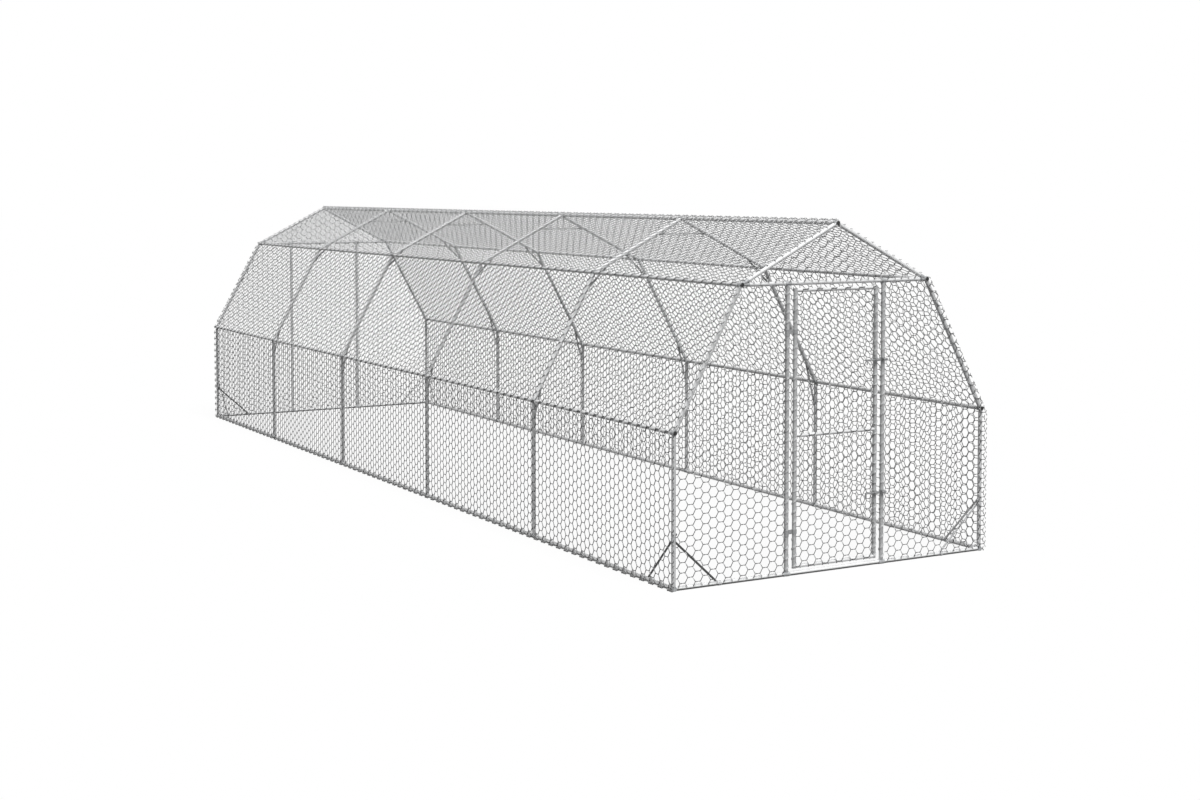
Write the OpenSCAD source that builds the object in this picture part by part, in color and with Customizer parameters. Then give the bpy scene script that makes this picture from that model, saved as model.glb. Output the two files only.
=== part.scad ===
// Walk-in chicken run: a galvanised tube frame with upright walls, steep slopes and a low roof,
// netted all over, with a door in one end. X runs across the run, Y along it with the door end
// at -Y, and Z up from the ground. The origin is on the ground in the middle of the run.

/* [Run] */
// Number of bays between frames
bay_count = 5; // [2:1:6]
// Distance between neighbouring frames
bay_pitch = 1880; // [1500:10:2100]
// Width between the side walls, at the tube centres
run_width = 2470; // [2200:10:2700]
// Height of the wall-top rails above the sills, at the tube centres
wall_rise = 970; // [900:10:1100]
// Width between the shoulder rails, at the tube centres
shoulder_width = 1484; // [1350:2:1600]
// Height of the shoulder rails above the wall-top rails, at the tube centres
shoulder_rise = 900; // [800:10:1000]
// Height of the ridge rail above the shoulder rails, at the tube centres
ridge_rise = 380; // [300:10:460]

/* [Tubes and fittings] */
// Outside diameter of the frame tubes
tube_d = 28; // [25:1:32]
// Wall of the frame tubes
tube_wall = 1; // [0.8:0.1:1.5]
// Wall of a fitting's collar outside the tube's own size
collar_wall = 2; // [2:0.5:3]
// Length of a collar on each side of its joint
collar_half = 24; // [22:1:36]
// Length of a spigot inside its tube
spigot_l = 35; // [25:5:70]
// Clearance between a spigot and the inside of its tube
spigot_clear = 0.3; // [0.2:0.05:0.5]
// Wall of a fitting round its through hole
fitting_wall = 2.7; // [2:0.1:4]
// Wall of a fitting's branches
branch_wall = 4.2; // [4:0.1:6]
// Gap between a collar and the end of a branching tube
branch_gap = 2; // [1:0.5:4]

/* [Straps and braces] */
// Width of a strap or brace
strap_w = 14; // [12:1:18]
// Thickness of a strap or brace
strap_t = 4; // [3:0.5:6]
// Distance from a frame's corner to each screw of its knee strap
knee_leg = 175; // [140:5:220]
// Distance down the rafters from the ridge to each screw of the ridge tie
tie_leg = 250; // [200:5:300]
// Height above the sill where an end-wall brace meets the corner post
brace_rise = 309; // [250:1:400]
// Distance from the corner where a brace meets its sill
brace_run = 337; // [280:1:400]
// Step between the two brace bands on a corner post
band_step = 30; // [28:1:40]
// Height of a brace band
band_h = 22; // [18:1:26]
// Wall of a brace band
band_wall = 1.8; // [1.5:0.1:2]
// Diameter of a screw's shank
screw_d = 6; // [5:0.5:7]
// Width of a hexagonal screw head across its corners
screw_head_d = 11; // [10:0.5:13]
// Height of a screw head
screw_head_h = 4; // [3:0.5:5]

/* [Door] */
// Distance between the two posts beside the door, at the tube centres
post_gap = 770; // [700:5:860]
// Clear gap between each post and the door's stile
side_gap = 34; // [30:1:45]
// Clear gap between the front sill and the door's bottom rail
foot_gap = 17; // [12:1:30]
// Clear gap between the door's top rail and the front beam
head_gap = 20; // [12:1:40]
// Height of the door's middle rail above the sill, at the tube centres
mid_rail_rise = 890; // [780:10:1000]
// Diameter of the door's rails
rail_d = 24; // [20:1:24]
// Height of the lower hinge above the sill
low_hinge_rise = 270; // [180:5:360]
// Height of the upper hinge above the middle rail
high_hinge_rise = 670; // [560:5:760]
// Height of a hinge strap
hinge_h = 28; // [22:1:36]
// Wall of a hinge strap round its tubes
hinge_wall = 2.5; // [2:0.25:4]
// Thickness of the web between a hinge strap's two rings
hinge_web_t = 6; // [4:0.5:10]
// Height of the stop collar under each hinge
stop_h = 14; // [10:1:20]
// Running clearance of the hinges and the slide bolts
running_clear = 0.3; // [0.3:0.05:0.5]

/* [Latches] */
// Height of the lower latch above the sill
low_latch_rise = 470; // [400:5:560]
// Height of the upper latch above the middle rail
high_latch_rise = 460; // [380:5:540]
// Diameter of a slide bolt
bolt_d = 10; // [8:0.5:12]
// Wall of the eye that guides a slide bolt
eye_wall = 3.7; // [3:0.1:4.5]
// Length of an eye along the bolt
eye_l = 34; // [30:1:40]
// Wall of the ring that clamps an eye to its tube
clamp_wall = 2.5; // [2:0.25:4]
// Height of the clamping ring
clamp_h = 24; // [20:1:32]
// Depth to which an eye is sunk into its clamping ring
eye_sink = 1.5; // [1:0.1:2]
// Travel of a slide bolt
bolt_throw = 60; // [50:1:70]
// Length of a bolt's tip past its own eye when it is drawn back
bolt_tip = 8; // [4:1:12]
// Diameter of a bolt's handle
handle_d = 8; // [6:0.5:9]
// Length of a bolt's handle below the bolt's centre
handle_l = 32; // [24:1:45]

/* [Netting] */
// Thickness of a net sheet
net_t = 1.5; // [1:0.5:4]
// Gap between a net sheet and the tubes it lies on
net_gap = 0.3; // [0.2:0.1:1]
// Height that each row of gaps in a net is fitted to
cell_size = 480; // [420:10:700]
// Distance between columns of gaps, as a share of their height
column_share = 1.5; // [0.9:0.1:2]
// Width of the strands between the gaps
strand_w = 8; // [6:1:20]
// Width of the selvedge round a net sheet
selvedge_w = 8; // [6:1:20]
// Gap between the eyes on a door post and the edge of the net beside them
net_edge = 3; // [1:0.5:12]

/* [Hidden] */
$fn = 48;
// Length by which every cut runs past what it cuts
overrun = 1;
// Gap between a strap and the tube or band that it lies on
seat_gap = 0.2;
// Clearance of a clamped band or ring round its tube
band_clear = 0.15;
// Clearance of a screw in its hole
screw_clear = 0.2;

half_width = run_width / 2;
half_shoulder = shoulder_width / 2;
half_length = bay_count * bay_pitch / 2;
front_y = -half_length;
post_x = post_gap / 2;
inner_ys = [for (i = [1 : bay_count - 1]) front_y + i * bay_pitch];

sill_z = tube_d / 2;
wall_z = sill_z + wall_rise;
shoulder_z = wall_z + shoulder_rise;
ridge_z = shoulder_z + ridge_rise;
sill_point = [half_width, 0, sill_z];
wall_point = [half_width, 0, wall_z];
shoulder_point = [half_shoulder, 0, shoulder_z];
ridge_point = [0, 0, ridge_z];

along = [0, 1, 0];
across = [1, 0, 0];
up = [0, 0, 1];
slant_way = unit(shoulder_point - wall_point);
rafter_way = unit(ridge_point - shoulder_point);
slant_l = norm(shoulder_point - wall_point);
rafter_l = norm(ridge_point - shoulder_point);
slant_lean = atan2(half_width - half_shoulder, shoulder_rise);
roof_pitch = atan2(ridge_rise, half_shoulder);

tube_bore = tube_d - 2 * tube_wall;
spigot_d = tube_bore - 2 * spigot_clear;
vent_d = spigot_d - 2 * fitting_wall;
branch_vent_d = spigot_d - 2 * branch_wall;
collar_d = tube_d + 2 * collar_wall;
branch_reach = collar_d / 2 + branch_gap;
fork_reach = tube_d / 2 / tan(roof_pitch / 2) + branch_gap;

strap_seat = tube_d / 2 + seat_gap;
band_d = tube_d + 2 * band_clear + 2 * band_wall;
brace_seat = band_d / 2 + seat_gap;
screw_hole_d = screw_d + 2 * screw_clear;

stile_x = post_x - tube_d - side_gap;
bottom_rail_z = sill_z + tube_d / 2 + foot_gap + rail_d / 2;
middle_rail_z = sill_z + mid_rail_rise;
top_rail_z = shoulder_z - tube_d / 2 - head_gap - rail_d / 2;
hinge_zs = [sill_z + low_hinge_rise, middle_rail_z + high_hinge_rise];
latch_zs = [sill_z + low_latch_rise, middle_rail_z + high_latch_rise];
clamp_bore = tube_d + 2 * band_clear;
clamp_d = clamp_bore + 2 * clamp_wall;
hinge_bore = tube_d + 2 * running_clear;
hinge_d = hinge_bore + 2 * hinge_wall;
eye_bore = bolt_d + 2 * running_clear;
eye_d = eye_bore + 2 * eye_wall;
eye_y = front_y - clamp_d / 2 - eye_d / 2 + eye_sink;

net_seat = collar_d / 2 + net_gap;
door_net_seat = rail_d / 2 + net_gap;
door_net_x = stile_x - clamp_d / 2 - net_gap;

function unit(v) = v / norm(v);

// Places and directions

module aim(way) {
    rotate([0, acos(way.z / norm(way)), atan2(way.y, way.x)]) children();
}

module left_side() {
    mirror(across) children();
}

module both_sides() {
    children();
    left_side() children();
}

module both_ends() {
    children();
    mirror(along) children();
}

module at_corners() {
    both_ends() both_sides() translate([half_width, front_y, 0]) mirror(across) children();
}

module at_inner_frames() {
    for (y = inner_ys) translate([0, y, 0]) children();
}

// Tubes and fittings

module tube(a, b, from, to, holes = []) {
    way = unit(b - a);
    length = norm(b - a) - from - to;
    difference() {
        translate(a + way * from) aim(way) cylinder(d = tube_d, h = length);
        translate(a + way * (from - overrun)) aim(way) cylinder(d = tube_bore, h = length + 2 * overrun);
        for (s = holes) translate(a + way * s) rotate([-90, 0, 0]) cylinder(d = screw_hole_d, h = tube_d);
    }
}

// One length of tube per bay, seated on the collars of the fittings at its two ends
module bay_tubes(point) {
    for (i = [0 : bay_count - 1]) {
        start = point + along * (front_y + i * bay_pitch);
        tube(start, start + along * bay_pitch, collar_half, collar_half);
    }
}

// A spigot for a tube that starts at reach from the joint's centre
module branch(way, reach) {
    aim(way) cylinder(d = spigot_d, h = reach + spigot_l);
}

// A branch whose stub has the tube's own size up to the tube's end
module full_branch(way, reach) {
    branch(way, reach);
    aim(way) cylinder(d = tube_d, h = reach);
}

// A collar from low behind the joint's centre to high in front of it
module collar(way, low, high) {
    aim(way) translate([0, 0, -low]) cylinder(d = collar_d, h = low + high);
}

module through_collar(way) {
    collar(way, collar_half, collar_half);
    branch(way, collar_half);
    branch(-way, collar_half);
}

// A collar with one branch out of its side
module tee(way, side) {
    difference() {
        union() {
            through_collar(way);
            branch(side, branch_reach);
        }
        vent(way);
        branch_vent(side, branch_reach);
    }
}

module end_collar() {
    collar(along, collar_d / 2, collar_half);
    branch(along, collar_half);
}

// The hole right through a collar
module vent(way) {
    reach = collar_half + spigot_l + overrun;
    aim(way) translate([0, 0, -reach]) cylinder(d = vent_d, h = 2 * reach);
}

// The hole down a branch from a collar's own hole
module branch_vent(way, reach) {
    aim(way) cylinder(d = branch_vent_d, h = reach + spigot_l + overrun);
}

// Trims what stands on the ground to a flat underside
module on_ground(depth) {
    span = 4 * (collar_half + spigot_l);
    difference() {
        children();
        translate([-span / 2, -span / 2, -depth - overrun]) cube([span, span, overrun + depth]);
    }
}

module corner_feet() {
    color("Silver") at_corners() on_ground(collar_wall) translate([0, 0, sill_z]) {
        end_collar();
        branch(up, branch_reach);
        full_branch(across, branch_reach);
    }
}

module sill_tees() {
    color("Silver") both_sides() at_inner_frames() translate([half_width, 0, 0]) on_ground(collar_wall) {
        translate([0, 0, sill_z]) tee(along, up);
    }
}

module end_sill_tees() {
    color("Silver") both_ends() both_sides() translate([post_x, front_y, 0]) on_ground(collar_wall) {
        translate([0, 0, sill_z]) tee(across, up);
    }
}

module wall_end_fittings() {
    color("Silver") both_ends() both_sides() translate(wall_point + along * front_y) difference() {
        union() {
            end_collar();
            branch(-up, branch_reach);
            branch(slant_way, branch_reach);
        }
        vent(along);
        branch_vent(-up, branch_reach);
        branch_vent(slant_way, branch_reach);
    }
}

module wall_fittings() {
    color("Silver") both_sides() at_inner_frames() translate(wall_point) difference() {
        union() {
            through_collar(along);
            branch(-up, branch_reach);
            branch(slant_way, branch_reach);
        }
        vent(along);
        branch_vent(-up, branch_reach);
        branch_vent(slant_way, branch_reach);
    }
}

module shoulder_end_fittings() {
    color("Silver") both_ends() both_sides() translate(shoulder_point + along * front_y) difference() {
        union() {
            end_collar();
            branch(-slant_way, branch_reach);
            full_branch(rafter_way, fork_reach);
            branch(-across, fork_reach);
        }
        vent(along);
        branch_vent(-slant_way, branch_reach);
        branch_vent(rafter_way, fork_reach);
    }
}

module shoulder_fittings() {
    color("Silver") both_sides() at_inner_frames() translate(shoulder_point) difference() {
        union() {
            through_collar(along);
            branch(-slant_way, branch_reach);
            branch(rafter_way, branch_reach);
        }
        vent(along);
        branch_vent(-slant_way, branch_reach);
        branch_vent(rafter_way, branch_reach);
    }
}

module ridge_branches() {
    both_sides() branch(-rafter_way, branch_reach);
}

module ridge_end_fittings() {
    color("Silver") both_ends() translate(ridge_point + along * front_y) difference() {
        union() {
            end_collar();
            ridge_branches();
        }
        vent(along);
        both_sides() branch_vent(-rafter_way, branch_reach);
    }
}

module ridge_fittings() {
    color("Silver") at_inner_frames() translate(ridge_point) difference() {
        union() {
            through_collar(along);
            ridge_branches();
        }
        vent(along);
        both_sides() branch_vent(-rafter_way, branch_reach);
    }
}

module beam_tees() {
    color("Silver") both_ends() both_sides() translate([post_x, front_y, shoulder_z]) tee(across, -up);
}

module side_sills() {
    color("Gainsboro") bay_tubes(sill_point);
}

module wall_rails() {
    color("Gainsboro") bay_tubes(wall_point);
}

module shoulder_rails() {
    color("Gainsboro") bay_tubes(shoulder_point);
}

module ridge_rails() {
    color("Gainsboro") bay_tubes(ridge_point);
}

// A frame member of the right side, with screw holes in the inner frames only
module frame_members(a, b, end_from, end_to, holes) {
    both_ends() translate([0, front_y, 0]) tube(a, b, end_from, end_to);
    at_inner_frames() tube(a, b, branch_reach, branch_reach, holes);
}

module posts() {
    color("Gainsboro") frame_members(wall_point, sill_point, branch_reach, branch_reach, [knee_leg]);
}

module slants() {
    screw_places = [knee_leg, slant_l - knee_leg];
    color("Gainsboro") frame_members(wall_point, shoulder_point, branch_reach, branch_reach, screw_places);
}

module rafters() {
    screw_places = [knee_leg, rafter_l - tie_leg];
    color("Gainsboro") frame_members(shoulder_point, ridge_point, fork_reach, branch_reach, screw_places);
}

// Three lengths of tube across the front end, parted at the tees under or over the inner posts
module end_tubes(reach, half_span) {
    color("Gainsboro") {
        both_sides() tube([half_span, front_y, 0], [post_x, front_y, 0], reach, collar_half);
        tube([-post_x, front_y, 0], [post_x, front_y, 0], collar_half, collar_half);
    }
}

module front_sill() {
    translate([0, 0, sill_z]) end_tubes(branch_reach, half_width);
}

module back_sill() {
    mirror(along) front_sill();
}

module front_beam() {
    translate([0, 0, shoulder_z]) end_tubes(fork_reach, half_shoulder);
}

module back_beam() {
    mirror(along) front_beam();
}

module latch_post() {
    foot = [post_x, front_y, sill_z];
    head = [post_x, front_y, shoulder_z];
    color("Gainsboro") tube(foot, head, branch_reach, branch_reach);
}

module hinge_post() {
    left_side() latch_post();
}

module back_posts() {
    mirror(along) both_sides() latch_post();
}

// Straps, braces and their screws

// A flat strap between two screw places in the XZ plane, from its seat towards +Y
module strap(a, b) {
    length = norm(b - a);
    translate(a) rotate([0, -atan2(b.z - a.z, b.x - a.x), 0]) difference() {
        union() {
            translate([0, 0, -strap_w / 2]) cube([length, strap_t, strap_w]);
            for (s = [0, length]) translate([s, 0, 0]) rotate([-90, 0, 0]) cylinder(d = strap_w, h = strap_t);
        }
        for (s = [0, length]) translate([s, -overrun, 0]) rotate([-90, 0, 0]) {
            cylinder(d = screw_hole_d, h = strap_t + 2 * overrun);
        }
    }
}

// A hexagon-headed screw whose head sits on the face at the origin, with its shank towards -Y
module screw(shank_l) {
    rotate([-90, 0, 0]) cylinder(d = screw_head_d, h = screw_head_h, $fn = 6);
    rotate([90, 0, 0]) cylinder(d = screw_d, h = shank_l);
}

wall_knee = [wall_point - up * knee_leg, wall_point + slant_way * knee_leg];
shoulder_knee = [shoulder_point - slant_way * knee_leg, shoulder_point + rafter_way * knee_leg];
tie_end = ridge_point - rafter_way * tie_leg;

module at_strap_seats() {
    at_inner_frames() translate([0, strap_seat, 0]) children();
}

module wall_knee_straps() {
    color("DarkGray") both_sides() at_strap_seats() strap(wall_knee[0], wall_knee[1]);
}

module shoulder_knee_straps() {
    color("DarkGray") both_sides() at_strap_seats() strap(shoulder_knee[0], shoulder_knee[1]);
}

module ridge_ties() {
    color("DarkGray") at_strap_seats() strap([-tie_end.x, 0, tie_end.z], tie_end);
}

module strap_screws() {
    shank_l = strap_t + seat_gap + 4 * tube_wall;
    color("DimGray") both_sides() at_strap_seats() translate([0, strap_t, 0]) {
        for (place = concat(wall_knee, shoulder_knee, [tie_end])) translate(place) screw(shank_l);
    }
}

// The end-wall brace of a corner runs along +X from its post, and the side-wall brace is its
// reflection along +Y, fixed one band higher so that the two pass each other
module corner_pair() {
    children(0);
    mirror(across - along) children(1);
}

module brace(rise) {
    post_end = [0, brace_seat, sill_z + rise];
    sill_end = [brace_run, brace_seat, sill_z];
    strap(post_end, sill_end);
}

module corner_braces() {
    color("DarkGray") at_corners() corner_pair() {
        brace(brace_rise);
        brace(brace_rise + band_step);
    }
}

module band(way) {
    difference() {
        aim(way) translate([0, 0, -band_h / 2]) cylinder(d = band_d, h = band_h);
        aim(way) translate([0, 0, -band_h / 2 - overrun]) {
            cylinder(d = tube_d + 2 * band_clear, h = band_h + 2 * overrun);
        }
        rotate([-90, 0, 0]) cylinder(d = screw_hole_d, h = band_d);
    }
}

module brace_bands(rise) {
    translate([0, 0, sill_z + rise]) band(up);
    translate([brace_run, 0, 0]) on_ground(collar_wall) translate([0, 0, sill_z]) band(across);
}

module corner_bands() {
    color("Gray") at_corners() corner_pair() {
        brace_bands(brace_rise);
        brace_bands(brace_rise + band_step);
    }
}

module brace_screw_pair(rise) {
    shank_l = strap_t + seat_gap + band_wall;
    for (place = [[0, 0, sill_z + rise], [brace_run, 0, sill_z]]) {
        translate(place + along * (brace_seat + strap_t)) screw(shank_l);
    }
}

module brace_screws() {
    color("DimGray") at_corners() corner_pair() {
        brace_screw_pair(brace_rise);
        brace_screw_pair(brace_rise + band_step);
    }
}

// Netting

// The outline, given anticlockwise, moved in by d on every side
function inset(points, d) = [
    for (i = [0 : len(points) - 1])
        let (
            before = points[(i + len(points) - 1) % len(points)],
            here = points[i],
            after = points[(i + 1) % len(points)],
            way_in = unit(here - before),
            way_out = unit(after - here),
            turn = way_in.x * way_out.y - way_in.y * way_out.x
        )
        here + (way_out - way_in) * d / turn
];

// A six-sided gap with level sides at its top and bottom
function gap_outline(pitch, height) =
    let (
        half_point = 2 / 3 * pitch - strand_w / sqrt(3),
        half_top = half_point / 2,
        half_height = (height - strand_w) / 2
    )
    [
        [half_point, 0], [half_top, half_height], [-half_top, half_height],
        [-half_point, 0], [-half_top, -half_height], [half_top, -half_height]
    ];

// A cut of the given outline right through a net sheet
module cut() {
    translate([0, 0, -overrun]) linear_extrude(net_t + 2 * overrun) children();
}

// A flat net sheet with staggered columns of gaps fitted to its outline
module net(outline) {
    low = [min([for (p = outline) p.x]), min([for (p = outline) p.y])];
    high = [max([for (p = outline) p.x]), max([for (p = outline) p.y])];
    rows = max(1, round((high.y - low.y) / cell_size));
    height = (high.y - low.y) / rows;
    columns = max(1, round((high.x - low.x) / (height * column_share)));
    pitch = (high.x - low.x) / columns;
    difference() {
        linear_extrude(net_t) polygon(outline);
        intersection() {
            cut() polygon(inset(outline, selvedge_w));
            cut() {
                for (i = [-1 : columns], j = [0 : rows - abs(i + 1) % 2]) {
                    stagger_share = abs(i) % 2 / 2;
                    place = low + [(i + 0.5) * pitch, (j + 0.5 - stagger_share) * height];
                    translate(place) polygon(gap_outline(pitch, height));
                }
            }
        }
    }
}

// A sheet along the right side, from a rail's centre line up a slope that leans in by lean degrees
module side_net(point, lean, height) {
    length = 2 * half_length;
    color("LightGray") translate([point.x, front_y, point.z]) rotate([0, -lean, 0]) rotate([90, 0, 90]) {
        translate([0, 0, net_seat]) net([[0, 0], [length, 0], [length, height], [0, height]]);
    }
}

module wall_net() {
    side_net(sill_point, 0, wall_rise);
}

module slope_net() {
    side_net(wall_point, slant_lean, slant_l);
}

module roof_net() {
    side_net(shoulder_point, 90 - roof_pitch, rafter_l);
}

// A sheet across the front end, with its outline in X and Z
module end_net(outline, seat) {
    color("LightGray") translate([0, front_y - seat, 0]) rotate([90, 0, 0]) net(outline);
}

module front_net() {
    edge_x = post_x + eye_l / 2 + net_edge;
    outline = [
        [edge_x, sill_z], [half_width, sill_z], [half_width, wall_z],
        [half_shoulder, shoulder_z], [edge_x, shoulder_z]
    ];
    end_net(outline, net_seat);
}

module gable_net() {
    end_net([[-half_shoulder, shoulder_z], [half_shoulder, shoulder_z], [0, ridge_z]], net_seat);
}

module back_net() {
    outline = [
        [-half_width, sill_z], [half_width, sill_z], [half_width, wall_z], [half_shoulder, shoulder_z],
        [0, ridge_z], [-half_shoulder, shoulder_z], [-half_width, wall_z]
    ];
    mirror(along) end_net(outline, net_seat);
}

module door_net() {
    outline = [
        [-door_net_x, bottom_rail_z], [door_net_x, bottom_rail_z],
        [door_net_x, top_rail_z], [-door_net_x, top_rail_z]
    ];
    end_net(outline, door_net_seat);
}

// Door

module latch_stile() {
    foot = [stile_x, front_y, bottom_rail_z - rail_d / 2];
    head = [stile_x, front_y, top_rail_z + rail_d / 2];
    color("Gainsboro") tube(foot, head, 0, 0);
}

module hinge_stile() {
    left_side() latch_stile();
}

// A rail between the stiles, with its ends hollowed to fit against them
module door_rail(z) {
    rail_bore = rail_d - 2 * tube_wall;
    span = 2 * stile_x;
    translate([0, front_y, z]) difference() {
        translate([-stile_x, 0, 0]) aim(across) cylinder(d = rail_d, h = span);
        translate([-stile_x - overrun, 0, 0]) aim(across) cylinder(d = rail_bore, h = span + 2 * overrun);
        both_sides() translate([stile_x, 0, -rail_d]) cylinder(d = tube_d, h = 2 * rail_d);
    }
}

module door_rails() {
    color("Gainsboro") for (z = [bottom_rail_z, middle_rail_z, top_rail_z]) door_rail(z);
}

module hinge_straps() {
    color("DarkGray") for (z = hinge_zs) translate([0, front_y, z - hinge_h / 2]) difference() {
        union() {
            for (x = [post_x, stile_x]) translate([-x, 0, 0]) cylinder(d = hinge_d, h = hinge_h);
            translate([-post_x, -hinge_web_t / 2, 0]) cube([post_x - stile_x, hinge_web_t, hinge_h]);
        }
        translate([-post_x, 0, -overrun]) cylinder(d = hinge_bore, h = hinge_h + 2 * overrun);
        translate([-stile_x, 0, -overrun]) cylinder(d = clamp_bore, h = hinge_h + 2 * overrun);
    }
}

module hinge_stops() {
    color("DarkGray") for (z = hinge_zs) {
        translate([-post_x, front_y, z - hinge_h / 2 - running_clear - stop_h]) difference() {
            cylinder(d = clamp_d, h = stop_h);
            translate([0, 0, -overrun]) cylinder(d = clamp_bore, h = stop_h + 2 * overrun);
        }
    }
}

// A ring clamped on an upright tube at x, with an eye in front of it for a slide bolt
module clamped_eye(x, z) {
    difference() {
        union() {
            translate([x, front_y, z - clamp_h / 2]) cylinder(d = clamp_d, h = clamp_h);
            translate([x - eye_l / 2, eye_y, z]) aim(across) cylinder(d = eye_d, h = eye_l);
        }
        translate([x, front_y, z - clamp_h / 2 - overrun]) {
            cylinder(d = clamp_bore, h = clamp_h + 2 * overrun);
        }
        translate([x - eye_l / 2 - overrun, eye_y, z]) aim(across) {
            cylinder(d = eye_bore, h = eye_l + 2 * overrun);
        }
    }
}

module latch_brackets() {
    color("DarkGray") for (z = latch_zs) clamped_eye(stile_x, z);
}

module latch_keepers() {
    color("DarkGray") for (z = latch_zs) clamped_eye(post_x, z);
}

// A slide bolt, drawn back, with a handle at its tail that stays behind the eye over the whole travel
module slide_bolt(z) {
    tip_x = stile_x + eye_l / 2 + bolt_tip;
    handle_x = stile_x - eye_l / 2 - bolt_throw - handle_d;
    tail_x = handle_x - handle_d;
    color("DimGray") {
        translate([tail_x, eye_y, z]) aim(across) cylinder(d = bolt_d, h = tip_x - tail_x);
        translate([handle_x, eye_y, z]) aim(-up) cylinder(d = handle_d, h = handle_l);
    }
}

module lower_latch_bolt() {
    slide_bolt(latch_zs[0]);
}

module upper_latch_bolt() {
    slide_bolt(latch_zs[1]);
}

corner_feet();
sill_tees();
end_sill_tees();
left_side() side_sills();  // side_sills_left
side_sills();  // side_sills_right
front_sill();
back_sill();
left_side() posts();  // posts_left
posts();  // posts_right
hinge_post();
latch_post();
back_posts();
wall_end_fittings();
wall_fittings();
left_side() wall_rails();  // wall_rails_left
wall_rails();  // wall_rails_right
left_side() slants();  // slants_left
slants();  // slants_right
shoulder_end_fittings();
shoulder_fittings();
left_side() shoulder_rails();  // shoulder_rails_left
shoulder_rails();  // shoulder_rails_right
beam_tees();
front_beam();
back_beam();
left_side() rafters();  // rafters_left
rafters();  // rafters_right
ridge_end_fittings();
ridge_fittings();
ridge_rails();
wall_knee_straps();
shoulder_knee_straps();
ridge_ties();
strap_screws();
corner_bands();
corner_braces();
brace_screws();
hinge_stops();
latch_keepers();
left_side() wall_net();  // wall_net_left
wall_net();  // wall_net_right
left_side() slope_net();  // slope_net_left
slope_net();  // slope_net_right
left_side() roof_net();  // roof_net_left
roof_net();  // roof_net_right
left_side() front_net();  // front_net_left
front_net();  // front_net_right
gable_net();
back_net();
hinge_stile();
latch_stile();
door_rails();
door_net();
hinge_straps();
latch_brackets();
upper_latch_bolt();
lower_latch_bolt();
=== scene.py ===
import math

import bmesh
import bpy
from mathutils import Matrix, Vector


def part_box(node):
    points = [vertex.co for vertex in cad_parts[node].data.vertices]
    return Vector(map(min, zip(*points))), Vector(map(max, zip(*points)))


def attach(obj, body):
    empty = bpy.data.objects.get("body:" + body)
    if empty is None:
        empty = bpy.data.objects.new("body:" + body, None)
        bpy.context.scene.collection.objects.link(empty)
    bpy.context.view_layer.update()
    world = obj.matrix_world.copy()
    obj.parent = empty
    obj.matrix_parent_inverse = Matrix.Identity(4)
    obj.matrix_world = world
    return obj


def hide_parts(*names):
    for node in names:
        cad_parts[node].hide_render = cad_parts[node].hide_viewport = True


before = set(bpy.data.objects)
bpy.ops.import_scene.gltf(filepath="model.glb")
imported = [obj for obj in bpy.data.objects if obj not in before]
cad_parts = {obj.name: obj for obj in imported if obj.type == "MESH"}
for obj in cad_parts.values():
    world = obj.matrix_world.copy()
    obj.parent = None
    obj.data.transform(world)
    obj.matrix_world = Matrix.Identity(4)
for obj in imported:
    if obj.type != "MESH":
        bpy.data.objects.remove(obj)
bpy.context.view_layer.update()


# The frame is round steel tube, galvanised at the mill, cut to length and pushed onto the
# fittings, and the door is cut from the same tube. The zinc has a fine spangle and drawn streaks.
# The uprights, slants and doorway tubes take duller tones than the rails as painted shade, and the
# foot of the cross sills is darkened as painted shade on their undersides.

class Shade:
    """One output of a material's nodes, so that shader maths reads as plain arithmetic."""

    tree = None

    def __init__(self, socket):
        self.socket = socket

    @classmethod
    def node(cls, kind, inputs, out=0, **settings):
        """Adds any node: its settings first, then the values or links of its sockets."""
        made = cls.tree.nodes.new(kind)
        for name, value in settings.items():
            setattr(made, name, value)
        for name, value in inputs.items():
            if isinstance(value, Shade):
                cls.tree.links.new(value.socket, made.inputs[name])
            else:
                made.inputs[name].default_value = value
        return cls(made.outputs[out]) if made.outputs else None

    @classmethod
    def maths(cls, operation, first, second, **settings):
        return cls.node("ShaderNodeMath", {0: first, 1: second}, operation=operation, **settings)

    def between(self, low, high):
        """The colour this far from low to high, each an (r, g, b) or another output."""
        low, high = (end if isinstance(end, Shade) else (*end, 1) for end in (low, high))
        return self.node("ShaderNodeMix", {0: self, 6: low, 7: high}, out=2, data_type="RGBA")

    def __add__(self, other):
        return self.maths("ADD", self, other)

    __radd__ = __add__

    def __sub__(self, other):
        return self.maths("SUBTRACT", self, other)

    def __rsub__(self, other):
        return self.maths("SUBTRACT", other, self)

    def __mul__(self, other):
        return self.maths("MULTIPLY", self, other)

    __rmul__ = __mul__


def new_tree(holder):
    """Empties the nodes of a material or world, for the next nodes to be added there."""
    holder.use_nodes = True
    Shade.tree = holder.node_tree
    Shade.tree.nodes.clear()


def distance_along(way, place):
    """How far along a unit vector each place lies."""
    return Shade.node("ShaderNodeVectorMath", {0: place, 1: way}, out="Value", operation="DOT_PRODUCT")


streaks_per_metre = 300
streak_stretch = 0.97
blotches_per_metre = 9
darkest_tone = 0.32
lightest_tone = 0.62
grain_depth = 0.0004
# The near-black that painted shade and grime mix towards
grime_and_shade_tone = (0.045, 0.045, 0.045)
shade_cover = 0.95


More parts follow.
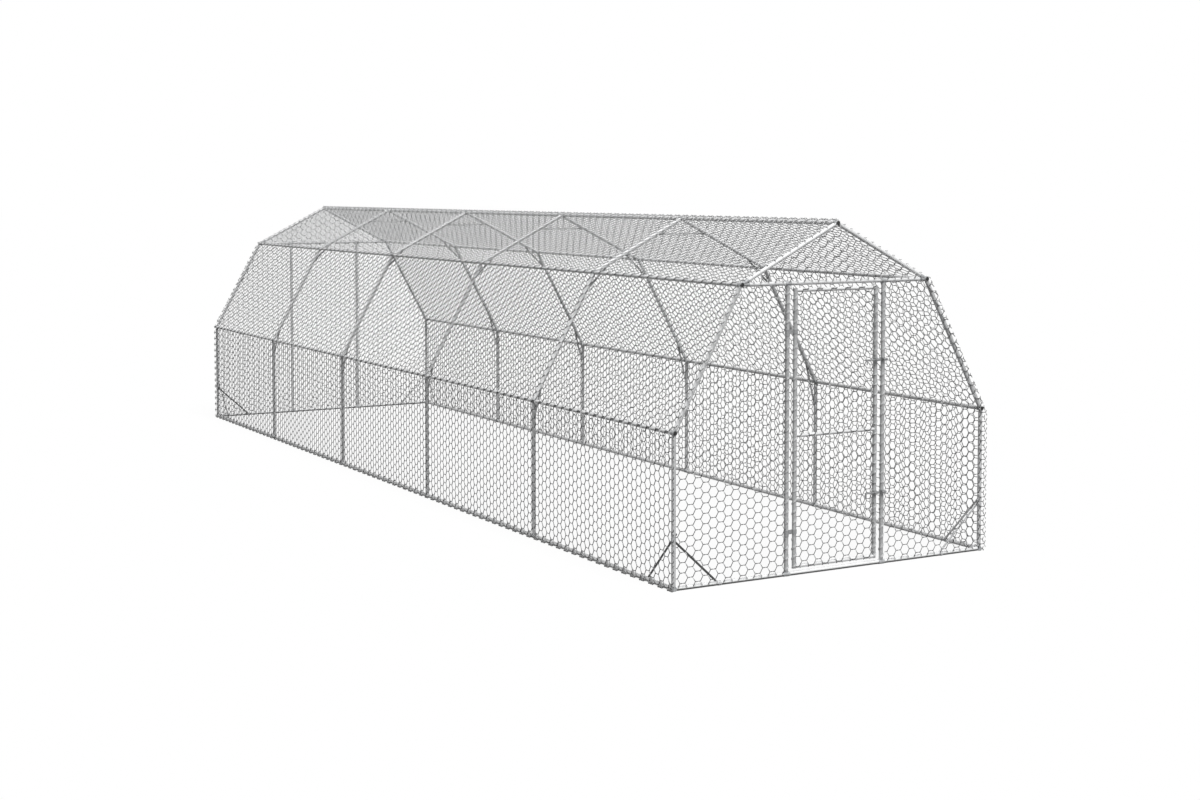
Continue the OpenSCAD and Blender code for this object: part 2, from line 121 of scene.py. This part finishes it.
def zinc(name, dull, bright, metal, rough, spangle, run=None, darkened_by=None, shaded_along=None):
    """A galvanised finish, with crystals of the size spangle. Its streaks follow the unit vector
    run, and grime with painted shade lies where the named mesh attribute is one. Painted shade lies
    up to a distance along a unit vector and has thinned out by another, as the last argument says.
    What isn't given is left out."""
    material = bpy.data.materials.new(name)
    new_tree(material)
    place = Shade.node("ShaderNodeTexCoord", {}, out="Object")
    streak_place = place
    if run is not None:
        shift = {0: run, "Scale": streak_stretch * distance_along(run, place)}
        drawn = Shade.node("ShaderNodeVectorMath", shift, operation="SCALE")
        streak_place = Shade.node("ShaderNodeVectorMath", {0: place, 1: drawn}, operation="SUBTRACT")
    streaks = Shade.node(
        "ShaderNodeTexNoise", {"Vector": streak_place, "Scale": streaks_per_metre, "Detail": 3})
    blotches = Shade.node(
        "ShaderNodeTexNoise",
        {"Vector": place, "Scale": blotches_per_metre, "Detail": 5, "Roughness": 0.6})
    crystals = Shade.node("ShaderNodeTexVoronoi", {"Vector": place, "Scale": 1 / spangle}, out="Color")
    facets = Shade.node("ShaderNodeSeparateColor", {0: crystals})
    tone = 0.5 * blotches + 0.3 * streaks + 0.2 * facets
    contrast = Shade.node(
        "ShaderNodeMapRange", {"Value": tone, "From Min": darkest_tone, "From Max": lightest_tone})
    colour = contrast.between(dull, bright)
    # Painted shade, darkest up to a distance along a unit vector
    if shaded_along is not None:
        way, full, none = shaded_along
        painted_shade = Shade.node("ShaderNodeMapRange", {
            "Value": distance_along(way, place),
            "From Min": full,
            "From Max": none,
            "To Min": shade_cover,
            "To Max": 0,
        })
        colour = painted_shade.between(colour, grime_and_shade_tone)
    # Grime and painted shade, read from the mesh's own attribute
    if darkened_by is not None:
        darkening = Shade.node("ShaderNodeAttribute", {}, out="Fac", attribute_name=darkened_by)
        colour = darkening.between(colour, grime_and_shade_tone)
    grain = Shade.node(
        "ShaderNodeBump", {"Height": streaks + 0.4 * facets, "Strength": 0.25, "Distance": grain_depth})
    shader = Shade.node("ShaderNodeBsdfPrincipled", {
        "Base Color": colour,
        "Roughness": rough + 0.22 * (blotches - 0.5) - 0.12 * (facets - 0.5),
        "Metallic": metal,
        "Normal": grain,
    })
    Shade.node("ShaderNodeOutputMaterial", {"Surface": shader})
    return material


def finish_nodes(material, *names):
    """Gives CAD nodes their one material."""
    for name in names:
        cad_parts[name].data.materials.clear()
        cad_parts[name].data.materials.append(material)


def middle(node):
    """The middle of a CAD node's box."""
    low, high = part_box(node)
    return (low + high) / 2


crosswise = Vector((1, 0, 0))
lengthwise = Vector((0, 1, 0))
upwards = Vector((0, 0, 1))
mirror_x = Matrix.Diagonal((-1, 1, 1, 1))
sill, wall_top, shoulder, ridge = (
    Vector((middle(node).x, 0, middle(node).z))
    for node in ("side_sills_right", "wall_rails_right", "shoulder_rails_right", "ridge_rails")
)

rail_tones = ((0.80, 0.805, 0.81), (0.95, 0.955, 0.96))
# Slants, uprights and doorway tubes take darker tones than the rails: painted shade
slant_shaded_tones = ((0.66, 0.665, 0.67), (0.84, 0.845, 0.85))
upright_shaded_tones = ((0.60, 0.605, 0.61), (0.80, 0.805, 0.81))
doorway_shaded_tones = ((0.42, 0.425, 0.43), (0.62, 0.625, 0.63))
# Painted shade on the lower half of the cross sills
sill_underside_shade = (upwards, 0.011, 0.016)


def finish_tubes(finish_name, tones, run, *names, shaded_along=None):
    """Gives tubes that follow one unit vector a finish between a dull and a bright tone."""
    dull, bright = tones
    tube_zinc = zinc(
        finish_name, dull, bright, metal=0.1, rough=0.45, spangle=0.009, run=run, shaded_along=shaded_along)
    finish_nodes(tube_zinc, *names)


finish_tubes(
    "tube_along", rail_tones, lengthwise, "side_sills_left", "side_sills_right", "wall_rails_left",
    "wall_rails_right", "shoulder_rails_left", "shoulder_rails_right", "ridge_rails")
finish_tubes(
    "tube_across", rail_tones, crosswise, "front_sill", "back_sill", "front_beam", "back_beam",
    "door_rails", shaded_along=sill_underside_shade)
finish_tubes("tube_upright", upright_shaded_tones, upwards, "posts_left", "posts_right", "back_posts")
finish_tubes(
    "tube_doorway", doorway_shaded_tones, upwards, "hinge_post", "latch_post", "hinge_stile", "latch_stile")
slant_run = (shoulder - wall_top).normalized()
finish_tubes("tube_slant_right", slant_shaded_tones, slant_run, "slants_right")
finish_tubes("tube_slant_left", slant_shaded_tones, mirror_x @ slant_run, "slants_left")
rafter_run = (ridge - shoulder).normalized()
finish_tubes("tube_rafter_right", rail_tones, rafter_run, "rafters_right")
finish_tubes("tube_rafter_left", rail_tones, mirror_x @ rafter_run, "rafters_left")


# The fittings are short welded sleeves, dipped after welding, so their zinc is thicker and duller
# than the tubes'. A hexagon-headed screw from inside pins each end of the tubes that run lengthwise.

fitting_zinc = zinc(
    "fitting_zinc", (0.34, 0.35, 0.36), (0.60, 0.61, 0.62), metal=0.1, rough=0.52, spangle=0.016)
finish_nodes(
    fitting_zinc, "corner_feet", "sill_tees", "end_sill_tees", "wall_end_fittings", "wall_fittings",
    "shoulder_end_fittings", "shoulder_fittings", "beam_tees", "ridge_end_fittings", "ridge_fittings")


def shape_of(bm, smooth=True):
    """A closed bmesh as a mesh with its faces outwards, for copies to be made of."""
    bmesh.ops.recalc_face_normals(bm, faces=bm.faces)
    for face in bm.faces:
        face.smooth = smooth
    mesh = bpy.data.meshes.new("shape")
    bm.to_mesh(mesh)
    bm.free()
    return mesh


def standing(place, way):
    """The matrix that stands a shape at a place, with its Z axis along a way."""
    return Matrix.Translation(place) @ way.to_track_quat("Z", "Y").to_matrix().to_4x4()


def each_side(matrix):
    """A place on the right with the one across from it, or a middle place by itself."""
    return [matrix, mirror_x @ matrix] if matrix.translation.x > 0 else [matrix]


def add_copies(bm, shape, matrices):
    """Adds a shape to a bmesh at each matrix, with its faces outwards also where it is mirrored."""
    for matrix in matrices:
        copy = shape.copy()
        copy.transform(matrix)
        if matrix.determinant() < 0:
            copy.flip_normals()
        bm.from_mesh(copy)
        bpy.data.meshes.remove(copy)


def add_piece(name, mesh, material, body):
    """A finished mesh, in the frame's own place, as a piece that rides on a body."""
    mesh.name = name
    mesh.materials.append(material)
    piece = bpy.data.objects.new(name, mesh)
    bpy.context.scene.collection.objects.link(piece)
    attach(piece, body)
    return piece


def hexagon_screw(head_d, head_h, washer_d, washer_t):
    """A screw head on its washer, standing on the XY plane."""
    bm = bmesh.new()
    bmesh.ops.create_cone(
        bm, cap_ends=True, segments=14, radius1=washer_d / 2, radius2=washer_d / 2, depth=washer_t,
        matrix=Matrix.Translation((0, 0, washer_t / 2)))
    bmesh.ops.create_cone(
        bm, cap_ends=True, segments=6, radius1=head_d / 2, radius2=head_d / 2, depth=head_h,
        matrix=Matrix.Translation((0, 0, washer_t + head_h / 2)))
    top_edges = [e for e in bm.edges if all(v.co.z > washer_t + head_h / 2 for v in e.verts)]
    bmesh.ops.bevel(
        bm, geom=top_edges, offset=head_h / 5, affect="EDGES", segments=1, profile=0.5, material=-1)
    return shape_of(bm)


screw_zinc = zinc(
    "screw_zinc", (0.26, 0.27, 0.28), (0.50, 0.51, 0.52), metal=0.5, rough=0.4, spangle=0.004)
tube_r = (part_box("latch_post")[1].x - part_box("latch_post")[0].x) / 2
front_end = Vector((0, middle("front_sill").y, 0))
back_end = Vector((0, middle("back_sill").y, 0))
bay_count = 5
bay = (back_end - front_end) / bay_count
pin_reach = 0.040 * lengthwise
pin_screw = hexagon_screw(head_d=0.009, head_h=0.0035, washer_d=0.012, washer_t=0.001)
pins = bmesh.new()
for tube in (sill, wall_top, shoulder, ridge):
    inwards = -crosswise if tube.x > 0 else -upwards
    for number in range(bay_count):
        near = front_end + number * bay
        for end in (near + pin_reach, near + bay - pin_reach):
            seat = standing(tube + end + inwards * tube_r, inwards)
            add_copies(pins, pin_screw, each_side(seat))
add_piece("tube_pin_screws", shape_of(pins, smooth=False), screw_zinc, "frame")


# The knee straps, ridge ties and corner braces are flat zinc-plated strip, punched and screwed
# on. The ridge ties are painted lighter as lit from above, and the knee straps darker as painted
# shade. The braces, with painted shade on the run's left, are held by sheet bands that clamp round
# the corner posts and the sills.

strip_finish = {"metal": 0.1, "rough": 0.5, "spangle": 0.006}
band_zinc = zinc("band_zinc", (0.52, 0.53, 0.54), (0.78, 0.785, 0.79), **strip_finish)
finish_nodes(band_zinc, "corner_bands")
# Painted light: the ridge ties are lighter, as lit from above
tie_lit_zinc = zinc("tie_lit_zinc", (0.82, 0.825, 0.83), (0.95, 0.955, 0.96), **strip_finish)
finish_nodes(tie_lit_zinc, "ridge_ties")
# Painted shade: the knee straps are darker
knee_shaded_zinc = zinc("knee_shaded_zinc", (0.36, 0.365, 0.37), (0.56, 0.565, 0.57), **strip_finish)
finish_nodes(knee_shaded_zinc, "wall_knee_straps", "shoulder_knee_straps")
# Painted shade on the braces on the run's left, gone by the right
brace_left_shade = (crosswise, -0.4, 0.2)
brace_zinc = zinc(
    "brace_zinc", (0.72, 0.725, 0.73), (0.92, 0.925, 0.93), **strip_finish, shaded_along=brace_left_shade)
finish_nodes(brace_zinc, "corner_braces")
finish_nodes(screw_zinc, "strap_screws", "brace_screws")


# The netting is hexagonal mesh: galvanised wires run in pairs, twisted together along the level
# side of each mesh and parted along the other two. One sheet lies on the outside of each face of
# the frame. The side sheets stand past its ends, and the walls' foot is turned out and muddy. The
# twists carry grime and painted shade, the rising wires are painted dark as shade, the falling
# wires of the walls and slopes a little, and the roof sheet carries about a third of that.

wire_finish = {
    "dull": (0.60, 0.605, 0.61),
    "bright": (0.80, 0.805, 0.81),
    "metal": 0.05,
    "rough": 0.45,
    "spangle": 0.004,
}
wire_zinc = zinc("wire_zinc", **wire_finish, darkened_by="grime_and_shade")
mesh_width = 0.065
mesh_side = mesh_width / math.sqrt(3)
column_pitch = 1.5 * mesh_side
wire_d = 0.0058
wall_wire_d = 0.0065
twist_r = 0.0036
twist_flatness = 0.6
twist_turn = math.radians(300)
twist_steps = 4
# Shares of grime and painted shade on the wires; the roof sheet takes the last share of them
twist_grime_and_shade = 0.8
rising_painted_shade = 0.96
wall_falling_painted_shade = 0.35
slope_falling_painted_shade = 0.25
roof_shade_share = 0.32


def net_mesh(wire, twist, rising, falling):
    """One twisted level side, with the two wires that part from its end, each with its share of grime and
    painted shade.
    """
    bm = bmesh.new()
    level_start = Matrix.Translation((-mesh_side / 2, 0, 0)) @ Matrix.Rotation(math.pi / 2, 4, "Y")
    bmesh.ops.create_circle(
        bm, cap_ends=True, segments=4, radius=twist_r,
        matrix=level_start @ Matrix.Diagonal((1, twist_flatness, 1, 1)))
    bmesh.ops.spin(
        bm, geom=bm.faces[:], axis=(1, 0, 0), cent=(0, 0, 0), angle=twist_turn, steps=twist_steps,
        dvec=(mesh_side / twist_steps, 0, 0))
    grime_and_shade = bm.verts.layers.float.new("grime_and_shade")
    for vert in bm.verts:
        vert[grime_and_shade] = twist
    for rise, dull in ((mesh_width / 2, rising), (-mesh_width / 2, falling)):
        start, end = Vector((mesh_side / 2, 0, 0)), Vector((mesh_side, rise, 0))
        strand = bmesh.ops.create_cone(
            bm, cap_ends=True, segments=4, radius1=wire / 2, radius2=wire / 2, depth=mesh_side,
            matrix=standing((start + end) / 2, end - start))
        for vert in strand["verts"]:
            vert[grime_and_shade] = dull
    return shape_of(bm)


wall_mesh = net_mesh(wall_wire_d, twist_grime_and_shade, rising_painted_shade, wall_falling_painted_shade)
slope_mesh = net_mesh(wire_d, twist_grime_and_shade, rising_painted_shade, slope_falling_painted_shade)
roof_mesh = net_mesh(wire_d, roof_shade_share * twist_grime_and_shade, roof_shade_share * rising_painted_shade, 0)
end_mesh = net_mesh(wire_d, twist_grime_and_shade, rising_painted_shade, 0)


def net_sheet(shape, outline, overruns):
    """Netting over a flat outline, given anticlockwise, cut off at each side's overrun past it."""
    margin = Vector((2 * column_pitch, mesh_width))
    low = Vector(map(min, zip(*outline))) - margin
    high = Vector(map(max, zip(*outline))) + margin
    roll = bpy.data.objects.new("roll", shape.copy())
    bpy.context.scene.collection.objects.link(roll)
    steps = (
        (column_pitch, mesh_width / 2, 2),
        (2 * column_pitch, 0, math.ceil((high.x - low.x) / (2 * column_pitch))),
        (0, mesh_width, math.ceil((high.y - low.y) / mesh_width)),
    )
    for across, up, count in steps:
        repeat = roll.modifiers.new("repeat", "ARRAY")
        repeat.use_relative_offset = False
        repeat.use_constant_offset = True
        repeat.constant_offset_displace = (across, up, 0)
        repeat.count = count
    bpy.context.view_layer.update()
    bm = bmesh.new()
    bm.from_object(roll, bpy.context.evaluated_depsgraph_get())
    bpy.data.objects.remove(roll)
    bmesh.ops.translate(bm, vec=(low.x, low.y, 0), verts=bm.verts)
    for start, end, overrun in zip(outline, outline[1:] + outline[:1], overruns):
        way = Vector(end) - Vector(start)
        out = Vector((way.y, -way.x, 0)).normalized()
        cut = bmesh.ops.bisect_plane(
            bm, geom=bm.verts[:] + bm.edges[:] + bm.faces[:], clear_outer=True,
            plane_co=Vector((*start, 0)) + out * overrun, plane_no=out)
        cut_edges = [e for e in cut["geom_cut"] if isinstance(e, bmesh.types.BMEdge)]
        bmesh.ops.holes_fill(bm, edges=cut_edges, sides=0)
    return shape_of(bm)


muddy = 0.75
fold_squeeze = 0.5
fold_stack = 1.8
fold_lift = 0.003


def lay(name, node, outline, overruns, origin, across, up, body, shape=end_mesh, fold=-math.inf):
    """Lays a sheet in the plane of across and up, outside what carries it, in place of its node.
    Its foot below the fold is turned outwards over the ground, and muddy."""
    sheet = net_sheet(shape, outline, overruns)
    for vert, darkening in zip(sheet.vertices, sheet.attributes["grime_and_shade"].data):
        along, rise, depth = vert.co
        if rise < fold:
            vert.co = (along, fold + fold_lift + depth * fold_stack, (fold - rise) * fold_squeeze)
            darkening.value = muddy
    plane = Matrix((across, up, across.cross(up))).transposed().to_4x4()
    sheet.transform(Matrix.Translation(origin) @ plane)
    piece = add_piece(name, sheet, wire_zinc, body)
    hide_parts(node)


net_offset = middle("wall_net_right").x - sill.x
length = (back_end - front_end).length
past_edge = 0.028
past_gable = 0.018
past_seam = 0.006
past_fold = 0.030
ground_gap = 0.004
fold_drop = sill.z - ground_gap

# Side sheets, upwards from the sills to the ridge
for foot, head, face, shape, at_foot, at_head, at_ends in (
    (sill, wall_top, "wall", wall_mesh, fold_drop + past_fold, past_seam, past_edge),
    (wall_top, shoulder, "slope", slope_mesh, past_seam, past_seam, past_edge),
    (shoulder, ridge, "roof", roof_mesh, past_seam, past_edge, past_gable),
):
    rise = (head - foot).length
    up = (head - foot).normalized()
    seat = foot + lengthwise.cross(up) * net_offset
    outline = [(0, 0), (length, 0), (length, rise), (0, rise)]
    overruns = (at_foot, at_ends, at_head, at_ends)
    fold = -fold_drop if face == "wall" else -math.inf
    lay(
        f"netting_{face}_right", f"{face}_net_right", outline, overruns,
        seat + front_end, lengthwise, up, "frame", shape, fold)
    lay(
        f"netting_{face}_left", f"{face}_net_left", outline, overruns,
        mirror_x @ seat + back_end, -lengthwise, mirror_x @ up, "frame", shape, fold)

# End sheets, outlined in X and Z
short_of_tube = -0.008
past_doorway = 0.004
past_corner_post = 0.045
doorway_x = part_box("front_net_right")[0].x
beside_door = [
    (doorway_x, sill.z), (sill.x, sill.z), (sill.x, wall_top.z),
    (shoulder.x, shoulder.z), (doorway_x, shoulder.z),
]
front_origin = front_end - lengthwise * net_offset
lay(
    "netting_front_right", "front_net_right", beside_door,
    (short_of_tube, past_corner_post, past_edge, short_of_tube, past_doorway),
    front_origin, crosswise, upwards, "frame")
lay(
    "netting_front_left", "front_net_left", [(-x, z) for x, z in reversed(beside_door)],
    (short_of_tube, short_of_tube, short_of_tube, short_of_tube, past_doorway),
    front_origin, crosswise, upwards, "frame")
lay(
    "netting_gable", "gable_net", [(-shoulder.x, shoulder.z), (shoulder.x, shoulder.z), (0, ridge.z)],
    (short_of_tube, short_of_tube, short_of_tube),
    front_origin, crosswise, upwards, "frame")
half_back = [(sill.x, sill.z), (sill.x, wall_top.z), (shoulder.x, shoulder.z)]
lay(
    "netting_back", "back_net", half_back + [(0, ridge.z)] + [(-x, z) for x, z in reversed(half_back)],
    (past_edge, past_edge, short_of_tube, short_of_tube, past_edge, past_edge, short_of_tube),
    back_end + lengthwise * net_offset, -crosswise, upwards, "frame")

# The door's own sheet
past_rail = 0.012
past_stile = 0.008
door_low, door_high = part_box("door_net")
door_outline = [
    (door_low.x, door_low.z), (door_high.x, door_low.z),
    (door_high.x, door_high.z), (door_low.x, door_high.z),
]
lay(
    "netting_door", "door_net", door_outline, (past_rail, past_stile, past_rail, past_stile),
    lengthwise * middle("door_net").y, crosswise, upwards, "door")


# The lacing ties the sheets down: three soft galvanised wires, still bright, run side by side in a
# spiral round the side sills, the door's posts and the door's stiles, about one turn to a mesh, and
# stop short of the hinges and latches.

lacing_zinc = zinc("lacing_zinc", **wire_finish)
tie_d = 0.0045
tie_wires = 3
spiral_steps = 10
hardware_reach = 0.05
hinge_heights = (0.284, 1.574)
latch_heights = (0.484, 1.364)


def lace(name, runs, pitch, body):
    """Spirals of wire along tubes' centre lines, each from its start to its end."""
    bm = bmesh.new()
    for start, end in runs:
        way = end - start
        turns = max(1, round(way.length / pitch))
        coil = bmesh.new()
        for wire in range(tie_wires):
            beside_tube = Matrix.Translation((tube_r + tie_d / 2, 0, wire * tie_d))
            bmesh.ops.create_circle(
                coil, cap_ends=True, segments=4, radius=tie_d / 2,
                matrix=beside_tube @ Matrix.Rotation(math.pi / 2, 4, "X"))
        bmesh.ops.spin(
            coil, geom=coil.faces[:], axis=(0, 0, 1), cent=(0, 0, 0), angle=turns * 2 * math.pi,
            steps=turns * spiral_steps, dvec=(0, 0, way.length / turns / spiral_steps))
        add_copies(bm, shape_of(coil), [standing(start, way)])
    add_piece(name, shape_of(bm), lacing_zinc, body)


def between_hardware(node, heights):
    """The stretches of an upright tube below, between and above its hinges or latches."""
    low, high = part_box(node)
    ends = [low.z] + [height + side * hardware_reach for height in heights for side in (-1, 1)] + [high.z]
    foot = Vector((middle(node).x, middle(node).y, 0))
    return [(foot + upwards * start, foot + upwards * end) for start, end in zip(ends[::2], ends[1::2])]


off_ground = sill + upwards * tie_d
right_sill = (off_ground + front_end, off_ground + back_end)
left_sill = tuple(mirror_x @ end for end in right_sill)
lace("sill_lacing", (right_sill, left_sill), 2 * column_pitch, "frame")
lace("hinge_post_lacing", between_hardware("hinge_post", hinge_heights), mesh_width, "frame")
lace("latch_post_lacing", between_hardware("latch_post", latch_heights), mesh_width, "frame")
lace("hinge_stile_lacing", between_hardware("hinge_stile", hinge_heights), mesh_width, "door")
lace("latch_stile_lacing", between_hardware("latch_stile", latch_heights), mesh_width, "door")


# The hinges and latches are zinc-plated steel: straps that turn on the hinge post above their
# stop collars, and slide bolts that run through clamped eyes into keepers on the latch post.

latch_zinc = zinc(
    "latch_zinc", (0.20, 0.205, 0.21), (0.40, 0.405, 0.41), metal=0.5, rough=0.42, spangle=0.005)
finish_nodes(
    latch_zinc, "hinge_straps", "hinge_stops", "latch_brackets", "latch_keepers", "upper_latch_bolt",
    "lower_latch_bolt")


# A near-black steel button, turned with a rounded rim, closes each open end of the wall-top,
# shoulder and ridge rails as painted shade standing in for the dark inside of the open tube. It is
# pressed half its thickness into the collar of the end fitting.

end_shade_black = zinc(
    "end_shade_black", (0.012, 0.012, 0.012), (0.03, 0.03, 0.03), metal=0.2, rough=0.5, spangle=0.004)
plug_d = 0.027
plug_t = 0.006
rim_steps = 3
button = bmesh.new()
bmesh.ops.create_cone(
    button, cap_ends=True, segments=20, radius1=plug_d / 2, radius2=plug_d / 2, depth=plug_t)
rim = [e for e in button.edges if all(v.co.z > 0 for v in e.verts)]
bmesh.ops.bevel(
    button, geom=rim, offset=plug_t / 2, affect="EDGES", segments=rim_steps, profile=0.5, material=-1)
button_shape = shape_of(button)
collar_reach = front_end.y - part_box("ridge_end_fittings")[0].y
plugs = bmesh.new()
for tube in (wall_top, shoulder, ridge):
    for end, outwards in ((front_end, -lengthwise), (back_end, lengthwise)):
        seat = standing(tube + end + outwards * collar_reach, outwards)
        add_copies(plugs, button_shape, each_side(seat))
add_piece("rail_plugs", shape_of(plugs), end_shade_black, "frame")


# The stage is a white floor and sky under one broad soft lamp. Both show plain white to the
# camera and in reflections, and the floor keeps the run's shadow.

studio_level = 0.12
lamp_level = 3.3
lamp_spread = math.radians(35)
to_lamp = Vector((-0.12, -0.5, 0.85))
floor_size = 300
floor_glow = 0.9
floor_tone = (0.98, 0.98, 0.98)
floor_bounce = (0.06, 0.06, 0.06)
white = (1, 1, 1, 1)


def seen_rays():
    """One for rays that show the stage itself, in view, in a reflection or through glass."""
    in_view, reflected, through_glass = (
        Shade.node("ShaderNodeLightPath", {}, out=f"Is {kind} Ray")
        for kind in ("Camera", "Glossy", "Transmission")
    )
    return Shade.maths("ADD", in_view + reflected, through_glass, use_clamp=True)


world = bpy.data.worlds.new("studio")
bpy.context.scene.world = world
new_tree(world)
sky_strength = studio_level + (1 - studio_level) * seen_rays()
sky = Shade.node("ShaderNodeBackground", {"Color": white, "Strength": sky_strength})
Shade.node("ShaderNodeOutputWorld", {"Surface": sky})

floor_paint = bpy.data.materials.new("floor_paint")
new_tree(floor_paint)
bounce = Shade.node("ShaderNodeLightPath", {}, out="Is Diffuse Ray")
matt = Shade.node("ShaderNodeBsdfDiffuse", {"Color": bounce.between(floor_tone, floor_bounce)})
glow = Shade.node("ShaderNodeEmission", {"Color": white, "Strength": 1})
floor_look = Shade.node("ShaderNodeMixShader", {0: floor_glow * seen_rays(), 1: matt, 2: glow})
Shade.node("ShaderNodeOutputMaterial", {"Surface": floor_look})

floor_bm = bmesh.new()
bmesh.ops.create_grid(floor_bm, x_segments=1, y_segments=1, size=floor_size / 2)
floor_mesh = bpy.data.meshes.new("floor")
floor_bm.to_mesh(floor_mesh)
floor_bm.free()
floor_mesh.materials.append(floor_paint)
floor = bpy.data.objects.new("floor", floor_mesh)
bpy.context.scene.collection.objects.link(floor)

lamp = bpy.data.objects.new("soft_lamp", bpy.data.lights.new("soft_lamp", "SUN"))
lamp.data.energy = lamp_level
lamp.data.angle = lamp_spread
lamp.rotation_euler = to_lamp.to_track_quat("Z", "Y").to_euler()
bpy.context.scene.collection.objects.link(lamp)


# The camera stands off the left corner of the door end, a little higher than the ridge. Its place
# and lens come from the photograph's perspective.

photo_width, photo_focal, photo_horizon_drop = 1200, 1729, 110
camera_place = (-6.819, -13.675, 2.484)
camera_tilt = 3.35
camera_turn = -29.43
camera_range = 500
camera = bpy.data.objects.new("camera", bpy.data.cameras.new("camera"))
camera.data.lens = camera.data.sensor_width * photo_focal / photo_width
camera.data.shift_y = -photo_horizon_drop / photo_width
camera.data.clip_end = camera_range
camera.location = camera_place
camera.rotation_euler = (math.radians(90 - camera_tilt), 0, math.radians(camera_turn))
bpy.context.scene.collection.objects.link(camera)
bpy.context.scene.camera = camera
bpy.context.scene.view_settings.view_transform = "Standard"
